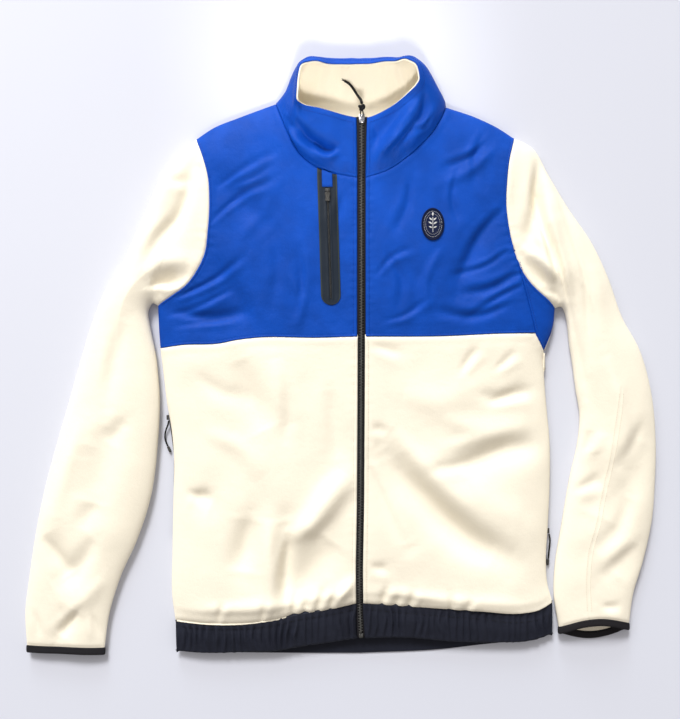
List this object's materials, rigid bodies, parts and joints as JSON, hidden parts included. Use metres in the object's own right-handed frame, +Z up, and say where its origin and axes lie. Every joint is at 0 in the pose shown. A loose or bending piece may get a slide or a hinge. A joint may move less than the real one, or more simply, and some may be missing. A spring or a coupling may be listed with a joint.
{
  "type": "fleece jacket",
  "caption": "Zip-through fleece jacket with long sleeves, woven yokes and stand collar, gathered hem band and a chest pocket, laid flat on its back.",
  "frame": {"origin": "centre of the jacket's box at the surface that it lies on", "axes": "+X towards the wearer's left, +Y towards the collar, +Z up from the surface through the front"},
  "size_m": [0.788, 0.7396, 0.0521],
  "materials": {
    "blue_shell": "smooth woven soft-shell, slight sheen",
    "cream_fleece": "smooth-faced fleece, matt, short nap",
    "navy_elastic": "gathered elastic band, matt",
    "black_binding": "narrow elastic binding, matt",
    "zip_black": "moulded teeth and coil",
    "zip_tape_black": "woven tape",
    "silver_metal": "satin metal",
    "pocket_charcoal": "welded tape, satin",
    "badge_navy": "woven patch",
    "cord_black": "braided cord",
    "moulded_black": "moulded plastic"
  },
  "bodies": {
    "jacket": {"front_yoke_right": "blue_shell", "front_yoke_left": "blue_shell", "back_yoke": "blue_shell", "collar_outer": "blue_shell", "pocket_garage": "blue_shell", "front_lower_right": "cream_fleece", "front_lower_left": "cream_fleece", "back_lower": "cream_fleece", "sleeve_right_top": "cream_fleece", "sleeve_right_under": "cream_fleece", "sleeve_left_top": "cream_fleece", "sleeve_left_under": "cream_fleece", "collar_lining": "cream_fleece", "hem_band_front_right": "navy_elastic", "hem_band_front_left": "navy_elastic", "hem_band_back": "navy_elastic", "cuff_binding_right": "black_binding", "cuff_binding_left": "black_binding", "zip_teeth": "zip_black", "zip_bottom_box": "zip_black", "pocket_coil": "zip_black", "zip_tape_right": "zip_tape_black", "zip_tape_left": "zip_tape_black", "side_zip_right": "zip_tape_black", "side_zip_left": "zip_tape_black", "zip_slider": "silver_metal", "zip_bail": "silver_metal", "pocket_tape": "pocket_charcoal", "badge": "badge_navy", "zip_pull_loop": "cord_black", "zip_pull_knot": "cord_black", "zip_pull_cord": "cord_black", "side_pull_cord_right": "cord_black", "side_pull_cord_left": "cord_black", "pocket_slider": "moulded_black", "pocket_bail": "moulded_black", "side_slider_right": "moulded_black", "side_slider_left": "moulded_black", "side_pull_grip_right": "moulded_black", "side_pull_grip_left": "moulded_black"},
    "pull_tab": {"pocket_pull_tab": "moulded_black"}
  },
  "joints": [
    {"name": "pull_tab_hinge", "type": "hinge", "parent": "jacket", "child": "pull_tab", "pos_m": [-0.01611, 0.2064, 0.0282], "axis": [-1, 0, 0], "range_deg": [0, 150]}
  ]
}
